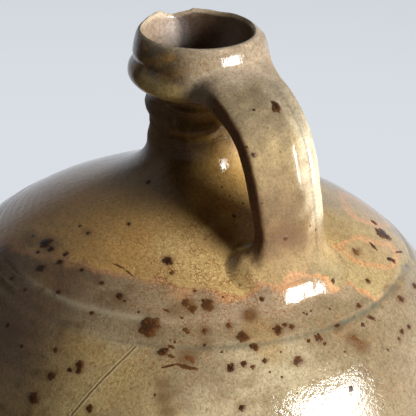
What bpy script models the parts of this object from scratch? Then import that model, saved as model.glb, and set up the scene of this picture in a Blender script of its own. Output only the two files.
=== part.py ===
"""A glazed stoneware jug with a strap handle, in metres, standing on z = 0.

The jug is built the way a potter builds a large one. The lower body is thrown with
its floor, the shoulder is thrown by itself and set on it, the neck and the rolled
collar follow, and a pulled strap joins the collar to the shoulder with a wad of
clay at each end. The handle lies along +X.
"""

import math

import bmesh
import bpy
from mathutils import Vector

# Body
foot_radius = 0.0895
foot_height = 0.0040
foot_rounding = 0.0030
foot_overhang = 0.0020
wall_start_rise = 0.0060
belly_radius = 0.136
belly_height = 0.213
seam_radius = 0.104
seam_rise = 0.0611
body_wall = 0.0080
floor_thickness = 0.0120
floor_fillet = 0.0140

# Shoulder and neck
shoulder_rise = 0.0549
neck_radius = 0.0228
neck_wall = 0.0062
neck_length = 0.0276
neck_ring_projection = 0.0027
neck_ring_half_height = 0.0058
neck_ring_height_share = 0.67
reed_projection = 0.0005
reed_half_height = 0.0013
reed_height_shares = (0.34, 0.44)

# Collar and lip, set back from the collar's greatest radius
collar_height = 0.0284
collar_radius = 0.0330
underside_setback = 0.0030
underside_rise = 0.0025
band_height_share = 0.30
groove_depth = 0.0026
groove_height_share = 0.53
upper_band_setback = 0.0018
lip_setback = 0.0048
lip_thickness = 0.0020
lip_rounding = 0.0012

# Chip in the lip, on the side away from the handle
chip_depth = 0.0017
chip_width = 0.0160
chip_azimuth = math.radians(168)
chip_overrun = 0.0040

# Handle, on a middle line that starts inside the collar and ends under the shoulder
strap_width = 0.0365
strap_thickness = 0.0095
strap_top_width = 0.0480
strap_top_thickness = 0.0112
strap_groove_depth = 0.0009
strap_groove_width_share = 0.26
strap_groove_place_shares = (-0.13, 0.56)
strap_edge_power = 3.0
root_sink = 0.0130
root_height_share = 0.27
root_width = 0.0560
root_thickness = 0.0170
crown_reach = 0.0270
crown_rise = 0.0055
foot_reach = 0.0727
foot_sink = 0.0035
back_reach = 0.0018
back_rise = 0.0340
handle_foot_width = 0.0460
handle_foot_thickness = 0.0220
root_end_share = 0.24
foot_start_share = 0.80

# Fits and facets
joint_gap = 0.0003
turn_steps = 48
neck_turn_steps = 40
shoulder_rows = 12
belly_rows = (6, 9)
neck_rows = 18
fillet_rows = 3
strap_points = 26
strap_stations = 14
end_stations = 6

# Heights and radii that follow from the sizes above
seam_height = belly_height + seam_rise
neck_foot_height = seam_height + shoulder_rise
collar_bottom_height = neck_foot_height + neck_length
jug_height = collar_bottom_height + collar_height
wall_start_radius = foot_radius - foot_overhang
wall_start_height = foot_height + wall_start_rise
bore_radius = neck_radius - neck_wall
underside_radius = collar_radius - underside_setback
groove_radius = collar_radius - groove_depth
upper_band_radius = collar_radius - upper_band_setback
lip_radius = collar_radius - lip_setback
lip_bore_radius = lip_radius - lip_thickness


# Outlines

def bezier(start, leave, arrive, end, count):
    """Points of one cubic curve, both ends included."""
    points = []
    for step in range(count + 1):
        t = step / count
        weights = ((1 - t) ** 3, 3 * t * (1 - t) ** 2, 3 * t * t * (1 - t), t**3)
        corners = (start, leave, arrive, end)
        points.append(Vector(sum(w * c[axis] for w, c in zip(weights, corners)) for axis in (0, 1)))
    return points


def bump(distance):
    """A smooth rise that is one at the middle and zero from a distance of one."""
    return math.cos(math.pi / 2 * distance) ** 2 if abs(distance) < 1 else 0.0


def beside(points, distances, point_before=None, point_after=None):
    """The outline moved to its inner side, each point by its own distance."""
    chain = [point_before or points[0]] + points + [point_after or points[-1]]
    moved = []
    for index, point in enumerate(points):
        along = (chain[index + 2] - chain[index]).normalized()
        moved.append(point + distances[index] * Vector((along.y, -along.x)))
    return moved


def shoulder_outline():
    """The outer side of the shoulder, from the neck down to the seam."""
    run = seam_radius - neck_radius
    return bezier(
        (neck_radius, neck_foot_height),
        (neck_radius, neck_foot_height - 0.38 * shoulder_rise),
        (seam_radius - 0.41 * run, seam_height + 0.50 * shoulder_rise),
        (seam_radius, seam_height),
        shoulder_rows,
    )


def body_outline():
    """The outer side of the lower body, from the seam down past the belly to the foot."""
    belly_run = belly_radius - seam_radius
    upper = bezier(
        (seam_radius, seam_height),
        (seam_radius + 0.53 * belly_run, seam_height - 0.228 * seam_rise),
        (belly_radius, belly_height + 0.43 * seam_rise),
        (belly_radius, belly_height),
        belly_rows[0],
    )
    wall_rise = belly_height - wall_start_height
    taper = belly_radius - wall_start_radius
    lower = bezier(
        (belly_radius, belly_height),
        (belly_radius, belly_height - 0.37 * wall_rise),
        (wall_start_radius + 0.23 * taper, wall_start_height + 0.23 * wall_rise),
        (wall_start_radius, wall_start_height),
        belly_rows[1],
    )
    return upper + lower[1:]


def neck_outline():
    """The outer side of the neck, from under the collar down, with its ring and two reeds."""
    points = []
    for row in range(neck_rows + 1):
        share = 1 - row / neck_rows
        height = share * neck_length
        ring = bump((height - neck_ring_height_share * neck_length) / neck_ring_half_height)
        reeds = sum(bump((height - place * neck_length) / reed_half_height) for place in reed_height_shares)
        radius = neck_radius + neck_ring_projection * ring + reed_projection * reeds
        points.append(Vector((radius, neck_foot_height + height)))
    return points


def collar_outline():
    """The outer side of the collar, from the lip down over both bands to the neck."""
    groove_height = collar_bottom_height + groove_height_share * collar_height
    band_height = collar_bottom_height + band_height_share * collar_height
    lip_height = jug_height - lip_rounding
    underside_height = collar_bottom_height + underside_rise
    upper_reach = 0.36 * (lip_height - groove_height)
    lower_reach = 0.55 * (groove_height - band_height)
    under_reach = 0.55 * (band_height - underside_height)
    upper = bezier(
        (lip_radius, lip_height),
        (upper_band_radius, lip_height - upper_reach),
        (upper_band_radius, groove_height + upper_reach),
        (groove_radius, groove_height),
        6,
    )
    lower = bezier(
        (groove_radius, groove_height),
        (groove_radius + 0.4 * (collar_radius - groove_radius), groove_height - lower_reach),
        (collar_radius, band_height + lower_reach),
        (collar_radius, band_height),
        4,
    )
    under = bezier(
        (collar_radius, band_height),
        (collar_radius, band_height - under_reach),
        (underside_radius + 0.7 * (collar_radius - underside_radius), underside_height),
        (underside_radius, underside_height),
        4,
    )
    return upper + lower[1:] + under[1:] + [Vector((neck_radius, collar_bottom_height))]


def dome_outline():
    """The shoulder and the lower body's wall in one falling line."""
    return shoulder_outline() + body_outline()[1:]


def dome_height(radius):
    """The height of the jug's upper side at a given radius, down to the belly."""
    line = dome_outline()
    upper, lower = next(pair for pair in zip(line, line[1:]) if radius <= pair[1].x)
    return upper.y + (lower.y - upper.y) * (radius - upper.x) / (lower.x - upper.x)


# Making objects

def material(name, colour, roughness):
    """A Principled material of one colour."""
    made = bpy.data.materials.new(name)
    made.use_nodes = True
    shader = made.node_tree.nodes["Principled BSDF"]
    shader.inputs["Base Color"].default_value = (*colour, 1.0)
    shader.inputs["Roughness"].default_value = roughness
    shader.inputs["Metallic"].default_value = 0.0
    return made


def place(made, collection, finish):
    """Links the object and gives it its material, if it has one."""
    collection.objects.link(made)
    if finish:
        made.data.materials.append(finish)
    return made


def turned(name, outline, steps, collection, finish=None, closed=True):
    """A solid turned about Z from an outline that runs down its outer side."""
    mesh = bpy.data.meshes.new(name)
    count = len(outline)
    edges = [(index, index + 1) for index in range(count - 1)]
    if closed:
        edges.append((count - 1, 0))
    mesh.from_pydata([(point.x, 0, point.y) for point in outline], edges, [])
    made = place(bpy.data.objects.new(name, mesh), collection, finish)
    screw = made.modifiers.new("Turn", "SCREW")
    screw.steps = screw.render_steps = steps
    screw.use_merge_vertices = True
    screw.merge_threshold = 0.00001
    screw.use_smooth_shade = True
    return made


def cut(target, cutter):
    """Takes the cutter's shape out of the target."""
    boolean = target.modifiers.new("Cut", "BOOLEAN")
    boolean.operation = "DIFFERENCE"
    boolean.object = cutter
    boolean.solver = "EXACT"


def hide(cutter):
    """Marks an object as a helper that isn't part of the jug."""
    cutter.hide_render = True
    cutter.display_type = "WIRE"
    return cutter


# The thrown pieces

def lower_body(collection, finish):
    """The floor and the wall up to the seam."""
    outer = body_outline()
    inner = beside(outer, [body_wall] * len(outer), point_before=shoulder_outline()[-2])
    kept = [point for point in inner if point.y > floor_thickness + floor_fillet]
    corner = kept[-1]
    fillet = bezier(
        (corner.x - floor_fillet, floor_thickness),
        (corner.x - 0.4 * floor_fillet, floor_thickness),
        (corner.x, corner.y - 0.6 * floor_fillet),
        corner,
        fillet_rows,
    )
    foot = [
        Vector((foot_radius, foot_height)),
        Vector((foot_radius - 0.3 * foot_rounding, 0.3 * foot_rounding)),
        Vector((foot_radius - foot_rounding, 0)),
        Vector((0, 0)),
    ]
    cavity = [Vector((0, floor_thickness))] + fillet[:-1] + kept[::-1]
    return turned("lower_body", cavity + outer + foot, turn_steps, collection, finish, closed=False)


def shoulder(collection, finish):
    """The dome from the seam to the neck, which stands on the lower body's slanted edge."""
    outer = shoulder_outline()
    shares = [min(1.0, 2.5 * row / shoulder_rows) for row in range(shoulder_rows + 1)]
    walls = [neck_wall + (body_wall - neck_wall) * share for share in shares]
    across_seam = body_outline()[1]
    inner = beside(outer, walls, point_after=across_seam)
    back_from_seam = joint_gap * (outer[-2] - across_seam).normalized()
    for side in (outer, inner):
        side[-1] = side[-1] + back_from_seam
    return turned("shoulder", outer + inner[::-1], turn_steps, collection, finish)


def neck(collection, finish):
    """The ringed neck, which stands on the shoulder."""
    outer = neck_outline()
    outer[-1] = Vector((outer[-1].x, neck_foot_height + joint_gap))
    inner = [Vector((bore_radius, outer[-1].y)), Vector((bore_radius, outer[0].y))]
    return turned("neck", outer + inner, neck_turn_steps, collection, finish)


def collar(collection, cutters, finish):
    """The rolled collar with its groove, the funnel inside it and the chip in its lip."""
    outer = collar_outline()
    outer[-1] = Vector((outer[-1].x, collar_bottom_height + joint_gap))
    lip_height = jug_height - lip_rounding
    lip = [
        Vector((lip_bore_radius, lip_height)),
        Vector((lip_bore_radius + 0.3 * lip_rounding, jug_height - 0.3 * lip_rounding)),
        Vector(((lip_bore_radius + lip_radius) / 2, jug_height)),
        Vector((lip_radius - 0.3 * lip_rounding, jug_height - 0.3 * lip_rounding)),
    ]
    funnel = bezier(
        (bore_radius, outer[-1].y),
        (bore_radius + 0.04 * collar_height, outer[-1].y + 0.35 * collar_height),
        (lip_bore_radius - 0.05 * collar_height, lip_height - 0.35 * collar_height),
        (lip_bore_radius, lip_height),
        6,
    )
    made = turned("collar", outer + funnel + lip[1:], neck_turn_steps, collection, finish)
    cut(made, chip_cutter(cutters))
    return made


def chip_cutter(cutters):
    """A short bar laid across the lip whose round underside leaves the chip."""
    radius = (chip_width**2 / 4 + chip_depth**2) / (2 * chip_depth)
    outer_end = lip_radius + chip_overrun
    inner_end = lip_bore_radius - chip_overrun
    bpy.ops.mesh.primitive_cylinder_add(vertices=48, radius=radius, depth=outer_end - inner_end)
    made = bpy.context.object
    made.name = "chip_cutter"
    for holder in list(made.users_collection):
        holder.objects.unlink(made)
    middle = (outer_end + inner_end) / 2
    made.rotation_euler = (0, math.pi / 2, chip_azimuth)
    made.location = (
        middle * math.cos(chip_azimuth),
        middle * math.sin(chip_azimuth),
        jug_height - chip_depth + radius,
    )
    cutters.objects.link(made)
    return hide(made)


# The handle

def handle_path():
    """The four control points of the strap's middle line, in the plane of the handle."""
    start = Vector((collar_radius - root_sink, collar_bottom_height + root_height_share * collar_height))
    end = Vector((foot_reach, dome_height(foot_reach) - foot_sink))
    leave = Vector((collar_radius + crown_reach, start.y + crown_rise))
    arrive = Vector((foot_reach + back_reach, end.y + back_rise))
    return start, leave, arrive, end


def strap_outline(width, thickness, groove):
    """The strap's section: across its width, and outward from its middle line."""
    points = []
    for index in range(strap_points):
        angle = 2 * math.pi * index / strap_points
        across = math.copysign(abs(math.cos(angle)) ** (2 / strap_edge_power), math.cos(angle))
        outward = math.copysign(abs(math.sin(angle)) ** (2 / strap_edge_power), math.sin(angle))
        dip = sum(bump((across - place) / strap_groove_width_share) for place in strap_groove_place_shares)
        dip = dip * groove if outward > 0 else 0.0
        points.append((across * width / 2, outward * thickness / 2 - dip))
    return points


def strap_size(share):
    """The strap's width, thickness and groove depth at a share of its length."""
    top = (1 - share) ** 1.5
    root = max(0.0, 1 - share / root_end_share) ** 1.6
    foot = max(0.0, (share - foot_start_share) / (1 - foot_start_share)) ** 1.8
    width = strap_width + (strap_top_width - strap_width) * top
    thickness = strap_thickness + (strap_top_thickness - strap_thickness) * top
    width += (root_width - strap_top_width) * root + (handle_foot_width - strap_width) * foot
    thickness += (root_thickness - strap_top_thickness) * root + (handle_foot_thickness - strap_thickness) * foot
    return width, thickness, strap_groove_depth * (1 - root) * (1 - foot)


def strap_ring(share):
    """The corners of the strap's section at a share of its length, in space."""
    steps = 1000
    line = bezier(*handle_path(), steps)
    index = round(steps * share)
    here = line[index]
    along = (line[min(index + 1, steps)] - line[max(index - 1, 0)]).normalized()
    outward = Vector((-along.y, along.x))
    ring = []
    for across, out in strap_outline(*strap_size(share)):
        ring.append(Vector((here.x + outward.x * out, across, here.y + outward.y * out)))
    return ring


def loft(name, first, last, stations, collection, finish):
    """A solid skinned over the strap's sections between two shares of its length."""
    shell = bmesh.new()
    rings = []
    for station in range(stations + 1):
        share = first + (last - first) * station / stations
        rings.append([shell.verts.new(corner) for corner in strap_ring(share)])
    for ring, following in zip(rings, rings[1:]):
        for index in range(strap_points):
            after = (index + 1) % strap_points
            shell.faces.new((ring[index], ring[after], following[after], following[index]))
    shell.faces.new(rings[0][::-1])
    shell.faces.new(rings[-1])
    bmesh.ops.recalc_face_normals(shell, faces=shell.faces)
    mesh = bpy.data.meshes.new(name)
    shell.to_mesh(mesh)
    shell.free()
    mesh.shade_smooth()
    mesh.set_sharp_from_angle(angle=math.radians(60))
    return place(bpy.data.objects.new(name, mesh), collection, finish)


def clearance_core(name, outline, steps, cutters):
    """A solid that fills an outline in to the axis and is larger than it by the joint's gap."""
    grown = beside(outline, [-joint_gap] * len(outline))
    top, bottom = (Vector((0, end.y)) for end in (grown[0], grown[-1]))
    return hide(turned(name, [top] + grown + [bottom], steps, cutters, closed=False))


def handle(collection, cutters, finish):
    """The strap and the two wads of clay that join it to the collar and to the shoulder."""
    collar_line = collar_outline() + neck_outline()[1:]
    collar_core = clearance_core("collar_core", collar_line, neck_turn_steps, cutters)
    dome_core = clearance_core("dome_core", dome_outline(), turn_steps, cutters)
    line = bezier(*handle_path(), 200)
    gap_share = joint_gap / sum((after - before).length for before, after in zip(line, line[1:]))
    root = loft("handle_root", 0.0, root_end_share, end_stations, collection, finish)
    cut(root, collar_core)
    loft("handle_strap", root_end_share + gap_share, foot_start_share - gap_share, strap_stations, collection, finish)
    foot = loft("handle_foot", foot_start_share, 1.0, end_stations, collection, finish)
    cut(foot, dome_core)


def main():
    for existing in list(bpy.data.objects):
        bpy.data.objects.remove(existing)
    jug = bpy.data.collections.new("stoneware_jug")
    cutters = bpy.data.collections.new("jug_cutters")
    for collection in (jug, cutters):
        bpy.context.scene.collection.children.link(collection)
    body_glaze = material("body_glaze", (0.42, 0.33, 0.20), 0.18)
    shoulder_glaze = material("shoulder_glaze", (0.50, 0.37, 0.18), 0.15)
    neck_glaze = material("neck_glaze", (0.33, 0.22, 0.11), 0.15)
    collar_glaze = material("collar_glaze", (0.52, 0.41, 0.26), 0.15)
    handle_glaze = material("handle_glaze", (0.60, 0.48, 0.29), 0.15)
    lower_body(jug, body_glaze)
    shoulder(jug, shoulder_glaze)
    neck(jug, neck_glaze)
    collar(jug, cutters, collar_glaze)
    handle(jug, cutters, handle_glaze)


main()
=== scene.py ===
# A salt-glazed stoneware jug: turned body, shoulder, neck and collar, and a pulled strap handle.
# Lengths are worked out in millimetres, with heights from the lip down, and go into the meshes in metres.
import math

import bpy
import numpy as np
from mathutils import Matrix, Vector


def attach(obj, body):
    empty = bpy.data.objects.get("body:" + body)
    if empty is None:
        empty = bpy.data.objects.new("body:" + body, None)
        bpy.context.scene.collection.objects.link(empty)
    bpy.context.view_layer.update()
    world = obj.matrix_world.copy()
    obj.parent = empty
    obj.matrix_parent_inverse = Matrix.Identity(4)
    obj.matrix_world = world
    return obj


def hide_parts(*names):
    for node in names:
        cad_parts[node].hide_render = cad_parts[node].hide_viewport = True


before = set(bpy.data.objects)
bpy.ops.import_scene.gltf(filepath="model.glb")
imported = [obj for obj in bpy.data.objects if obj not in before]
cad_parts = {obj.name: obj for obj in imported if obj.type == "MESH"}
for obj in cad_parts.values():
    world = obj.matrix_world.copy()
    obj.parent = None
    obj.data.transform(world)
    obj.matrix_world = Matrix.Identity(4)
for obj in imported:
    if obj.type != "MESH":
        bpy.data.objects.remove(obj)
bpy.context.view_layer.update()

scene = bpy.context.scene
scene.view_settings.view_transform = "Standard"
jugHeight = 385.0

view = dict(
    pixels=416,
    focal=1800,  # in pixels
    scale=2.05,  # pixels per millimetre on the shoulder
    target=(4.81, 5.95, -92.8),
    distance=887.16,
    azimuth=51,
    elevation=25,
    roll=2,
)


def viewAxes():
    # right, top and back of the picture: a level frame at the azimuth, raised by the elevation, then rolled
    a, e, r = (math.radians(view[k]) for k in ("azimuth", "elevation", "roll"))
    back = np.array((math.sin(a) * math.cos(e), -math.cos(a) * math.cos(e), math.sin(e)))
    across = np.array((math.cos(a), math.sin(a), 0.0))
    up = np.cross(back, across)
    return across * math.cos(r) + up * math.sin(r), up * math.cos(r) - across * math.sin(r), back


def inPicture(points):
    # pixel of each point: sideways and upward share of its depth, times the focal length
    right, top, back = viewAxes()
    away = points - (np.array(view["target"]) + back * view["distance"])
    depth = -(away @ back)
    half, scale = view["pixels"] / 2, view["focal"] / depth
    return np.stack([half + scale * (away @ right), half - scale * (away @ top)], -1)


def addCamera():
    right, top, back = viewAxes()
    place = np.array(view["target"]) + back * view["distance"] + (0, 0, jugHeight)
    camera = bpy.data.objects.new("camera", bpy.data.cameras.new("camera"))
    camera.data.sensor_width = 36
    camera.data.lens = 36 * view["focal"] / view["pixels"]
    camera.data.clip_end = 50
    turned = Matrix((right, top, back)).transposed().to_4x4()
    camera.matrix_world = Matrix.Translation(Vector(place / 1000)) @ turned
    scene.collection.objects.link(camera)
    scene.camera = camera


addCamera()
print("camera placed")


def smoothStep(low, high, value):
    # 0 at low, 1 at high and beyond, with level ends: 3t^2 - 2t^3
    t = np.clip((value - low) / (high - low), 0, 1)
    return t * t * (3 - 2 * t)


def bell(value, middle, width):
    # 1 at the middle, falling away on both sides as exp(-(x / width)^2)
    return np.exp(-(((value - middle) / width) ** 2))


def between(value, low, high, soft):
    # 1 between low and high, with soft ends
    return smoothStep(low - soft, low + soft, value) * (1 - smoothStep(high - soft, high + soft, value))


def rounded(value, power):
    # |value|^power with the value's sign: cosine and sine then go round a rounded oblong
    return np.sign(value) * np.abs(value) ** power


def unit(vectors):
    # the same directions, one long
    return vectors / np.linalg.norm(vectors, axis=-1, keepdims=True)


def lengthAlong(line):
    # distance of each point from the first, along the line
    return np.concatenate([[0], np.cumsum(np.linalg.norm(np.diff(line, axis=0), axis=1))])


def hermite(t, a, wayA, b, wayB):
    # cubic from a to b at shares t of the way, leaving a along wayA and reaching b along wayB
    start = (2 * t**3 - 3 * t**2 + 1) * a + (t**3 - 2 * t**2 + t) * wayA
    return start + (3 * t**2 - 2 * t**3) * b + (t**3 - t**2) * wayB


def bezier(corners, share):
    # cubic Bezier curve of four corners at the given shares of its way
    a, b, c, d = (np.asarray(p, float) for p in corners)
    t = np.asarray(share, float)[..., None]
    return (1 - t) ** 3 * a + 3 * (1 - t) ** 2 * t * b + 3 * (1 - t) * t * t * c + t**3 * d


def throughPoints(points, each=24):
    # smooth line through points: cubic stretches, the slope at a point weighted by its neighbours' distances
    p = np.asarray(points, float)
    step = np.diff(p, axis=0)
    far = np.linalg.norm(step, axis=1)[:, None]
    slope = step / far
    inner = (slope[:-1] * far[1:] + slope[1:] * far[:-1]) / (far[1:] + far[:-1])
    slope = np.vstack([slope[:1], inner, slope[-1:]])
    t = np.linspace(0, 1, each, endpoint=False)[None, :, None]
    wayA, wayB = slope[:-1, None] * far[:, None], slope[1:, None] * far[:, None]
    line = hermite(t, p[:-1, None], wayA, p[1:, None], wayB)
    return np.vstack([line.reshape(-1, p.shape[1]), p[-1:]])


def evenly(line, step=None, count=None):
    # the same line with its points at equal distances along it
    along = lengthAlong(line)
    count = count or max(2, int(round(along[-1] / step)) + 1)
    at = np.linspace(0, along[-1], count)
    return np.stack([np.interp(at, along, line[:, k]) for k in range(line.shape[1])], -1)


def waves(points, wavelength, seed, count=20):
    # unevenness of size about 1: a sum of sine waves that run in seeded directions
    random = np.random.default_rng(seed)
    way = unit(random.normal(size=(count, 3)))
    way *= 2 * math.pi / wavelength * random.uniform(0.7, 1.4, (count, 1))
    return np.sin(points @ way.T + random.uniform(0, 2 * math.pi, count)).sum(-1) * math.sqrt(2 / count)


def closedTable(table):
    # angles and values of a table, repeated a turn before and a turn after
    angles, values = (np.array(c, float) for c in zip(*table))
    return np.concatenate([angles - 360, angles, angles + 360]), np.tile(values, 3)


def roundInterp(angle, table):
    # value at an angle in degrees from a table of angle and value: level at each entry
    angles, values = closedTable(table)
    place = np.interp(angle, angles, np.arange(len(angles)))
    whole = np.minimum(np.floor(place).astype(int), len(angles) - 2)
    return values[whole] + (values[whole + 1] - values[whole]) * smoothStep(0, 1, place - whole)


def closedLine(angle, table):
    # value at an angle in degrees, smooth through the entries: cubic stretches, neighbours' mean slope
    angles, values = closedTable(table)
    slopes = np.gradient(values, angles)
    i = np.clip(np.searchsorted(angles, angle, side="right") - 1, 0, len(angles) - 2)
    span = angles[i + 1] - angles[i]
    return hermite((angle - angles[i]) / span, values[i], span * slopes[i], values[i + 1], span * slopes[i + 1])


def gridNormals(grid):
    # cross product of the steps to the next column and the next row, columns closed
    byColumn = np.roll(grid, -1, 1) - np.roll(grid, 1, 1)
    byRow = np.gradient(grid, axis=0)
    normal = np.cross(byColumn, byRow)
    return normal / np.maximum(np.linalg.norm(normal, axis=-1, keepdims=True), 1e-12)


def gridAt(grid, row, column):
    # value of a grid between its rows and columns, columns closed
    row = np.clip(row, 0, grid.shape[0] - 1.001)
    i, j = np.floor(row).astype(int), np.floor(column).astype(int)
    u, v = (row - i)[..., None], (column - j)[..., None]
    n = grid.shape[1]
    a, b = (grid[k, j % n] * (1 - v) + grid[k, (j + 1) % n] * v for k in (i, i + 1))
    return a * (1 - u) + b * u


def makePiece(name, nodes, verts, faces, normals=None, layers=None):
    # a mesh object from points in millimetres, with a normal for each corner and its layers on the points
    mesh = bpy.data.meshes.new(name)
    mesh.from_pydata((verts + (0, 0, jugHeight)) / 1000, [], faces)
    mesh.polygons.foreach_set("use_smooth", np.ones(len(mesh.polygons), bool))
    for layer, values in (layers or {}).items():
        colour = values.ndim == 2
        attribute = mesh.attributes.new(layer, "FLOAT_COLOR" if colour else "FLOAT", "POINT")
        if colour:
            values = np.hstack([values, np.ones((len(values), 1))])
        attribute.data.foreach_set("color" if colour else "value", values.astype(np.float32).ravel())
    mesh.update()
    if normals is not None:
        mesh.normals_split_custom_set(normals)
    piece = bpy.data.objects.new(name, mesh)
    scene.collection.objects.link(piece)
    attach(piece, "root")
    if nodes:
        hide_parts(*nodes)
    return piece


def ringFaces(rows, columns, closed=False, poles=(None, None)):
    # quads between neighbouring rows, and fans of triangles to a point at either end
    i, j = np.meshgrid(np.arange(rows if closed else rows - 1), np.arange(columns), indexing="ij")
    after, beside = (i + 1) % rows, (j + 1) % columns
    here, there = i * columns, after * columns
    quads = np.stack([here + j, here + beside, there + beside, there + j], -1)
    faces = quads.reshape(-1, 4).tolist()
    j = np.arange(columns)
    beside = (j + 1) % columns
    if poles[0] is not None:
        faces += np.stack([np.full(columns, poles[0]), beside, j], -1).tolist()
    if poles[1] is not None:
        last = (rows - 1) * columns
        faces += np.stack([last + j, last + beside, np.full(columns, poles[1])], -1).tolist()
    return faces


def cornerNormals(verts, faces, vertexNormals, flat):
    # each corner takes its point's normal, and the corners of flat faces take the face's own
    sizes = np.array([len(f) for f in faces])
    quads = (sizes == 4).sum()
    corners = np.concatenate([np.array(some, int).ravel() for some in (faces[:quads], faces[quads:])])
    normals = vertexNormals[corners]
    starts = np.concatenate([[0], np.cumsum(sizes)[:-1]])
    chosen = np.flatnonzero(flat)
    if len(chosen):
        a, b, c = (verts[corners[starts[chosen] + k]] for k in (0, 1, 2))
        own = np.cross(b - a, c - a)
        own /= np.maximum(np.linalg.norm(own, axis=1, keepdims=True), 1e-12)
        for k in range(4):
            has = sizes[chosen] > k
            normals[starts[chosen][has] + k] = own[has]
    return normals


# the turned wall
turned = dict(
    columns=448,
    wallStep=2.0,  # distance between rows, by part
    shoulderStep=1.0,
    neckStep=0.6,
    collarStep=0.5,
    insideStep=6.0,
    wall=8.0,
    neckWall=6.2,
    floor=12.0,
    uneven=0.20,  # size of the slow unevenness of the hand-turned wall
    ripple=0.035,  # size of the throwing rings on the shoulder
    # lip: how far its height departs from level, by angle
    lipRise=(
        (-135, 0), (0, 0), (45, 0.1), (60, 0.8), (80, 1.2), (100, 1.2), (120, 0.5), (135, 0.9), (147, 1.3),
        (152, 0.3), (160, -0.3), (168, -0.9), (175, -0.3), (186, 2.0), (197, 1.2), (212, 0.3),
    ),
    # corners of the outline's cubic curves: radius, and height over the base
    wallLow=((87.5, 10), (98.66, 56.7), (136, 137.9), (136, 213)),
    wallHigh=((136, 213), (136, 239.3), (120.96, 260.2), (104, 274.1)),
    dome=((104, 274.1), (70.7, 301.55), (22.8, 308.1), (22.8, 329)),
    # how far the joint ring lies below its mean place, by angle
    seamDrop=(
        (-180, 0.8), (-120, -0.4), (-60, 0.3), (-32, 0), (26, 0), (39, 1.6), (53, 6), (90, 5), (140, 2),
    ),
)
foot = ((86.5, 0), (88.3, 0.6), (89.3, 2.2), (89.5, 4.2), (89.0, 6.4), (88.0, 8.4), (87.5, 10))
neckLine = (
    (22.8, -56), (22.8, -54), (22.7, -50), (22.7, -48), (23.0, -46.4), (22.8, -45.4), (23.15, -44.4),
    (22.9, -43.4), (23.6, -42), (25.0, -39.5), (25.6, -37), (25.1, -35), (23.4, -32.5), (22.8, -30.2),
    (24.2, -28.4),
)
collarLine = (
    (24.2, -28.4), (27.6, -27.2), (30.8, -25.0), (32.6, -22.6), (33.0, -20), (32.6, -17.5), (31.3, -15),
    (30.45, -13.2), (30.9, -11), (30.6, -8), (29.8, -4), (28.9, -1.4), (27.9, -0.35), (27.0, 0),
)
# the collar on the handle's side, where the groove is smeared over and the wall leans outwards
collarPlain = (
    (24.2, -28.4), (27.6, -27.2), (30.9, -25.2), (33.0, -22.6), (33.8, -19.5), (33.8, -16), (33.3, -12),
    (32.5, -8.4), (31.3, -4.8), (29.9, -2.1), (28.6, -0.6), (27.0, 0),
)
collarInside = (
    (27.0, 0), (26.2, -1.3), (25.7, -4), (24.6, -8), (22.6, -13), (20, -18), (17.8, -23), (16.7, -28.4),
)


def turnedRuns():
    # the line that the wall follows: from the middle of the base up outside, over the lip and down inside
    up = lambda line: [(r, z - jugHeight) for r, z in line]
    base = evenly(np.array(up([(3, 0.5), (70, 0.5), (74, 0.1), (86.5, 0)])), 6.0)
    wallLow, wallHigh = (bezier(up(turned[k]), np.linspace(0, 1, 200)) for k in ("wallLow", "wallHigh"))
    wall = np.vstack([throughPoints(up(foot)), wallLow[1:], wallHigh[1:]])
    dome = bezier(up(turned["dome"]), np.linspace(0, 1, 400))
    neck, collar = throughPoints(neckLine), throughPoints(collarLine)
    plain = evenly(throughPoints(collarPlain), count=len(evenly(collar, turned["collarStep"])))
    inside = throughPoints(collarInside)

    def inward(line, thickness):
        # the line moved into the wall by its thickness there
        slope = unit(np.gradient(line, axis=0))
        return line - np.stack([slope[:, 1], -slope[:, 0]], -1) * np.asarray(thickness)[:, None]

    share = np.linspace(0, 1, len(dome))
    domeInside = inward(dome, turned["wall"] + (turned["neckWall"] - turned["wall"]) * share)[::-1]
    wallInside = inward(np.vstack([wallLow, wallHigh[1:]]), np.full(399, turned["wall"]))
    wallInside = wallInside[wallInside[:, 1] > turned["floor"] + 14 - jugHeight][::-1]
    wallInside = np.vstack([domeInside[-1:], wallInside[3:]])
    corner = wallInside[-1]
    floorHeight = turned["floor"] - jugHeight
    edge = (corner[0] - 15, floorHeight)
    bends = [(corner[0] - 3, floorHeight + 3), (corner[0] - 8, floorHeight)]
    fillet = bezier([corner, *bends, edge], np.linspace(0, 1, 9))
    floor = np.array([edge, (3, floorHeight)])
    low = evenly(wallInside, turned["insideStep"])[:-1]
    return [
        ("lower_body", np.vstack([base[:-1], evenly(wall, turned["wallStep"])])),
        ("shoulder", evenly(dome, turned["shoulderStep"])),
        ("neck", evenly(neck, turned["neckStep"])),
        ("collar", evenly(collar, turned["collarStep"]), plain),
        ("collar", evenly(inside, turned["collarStep"] * 1.6)),
        ("neck", evenly(np.array([inside[-1], (16.6, -32), (16.6, -56)]), 2.0)),
        ("shoulder", evenly(domeInside, turned["insideStep"] * 0.6)),
        ("lower_body", np.vstack([low, fillet[:-1], evenly(floor, 9.0)])),
    ]


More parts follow.
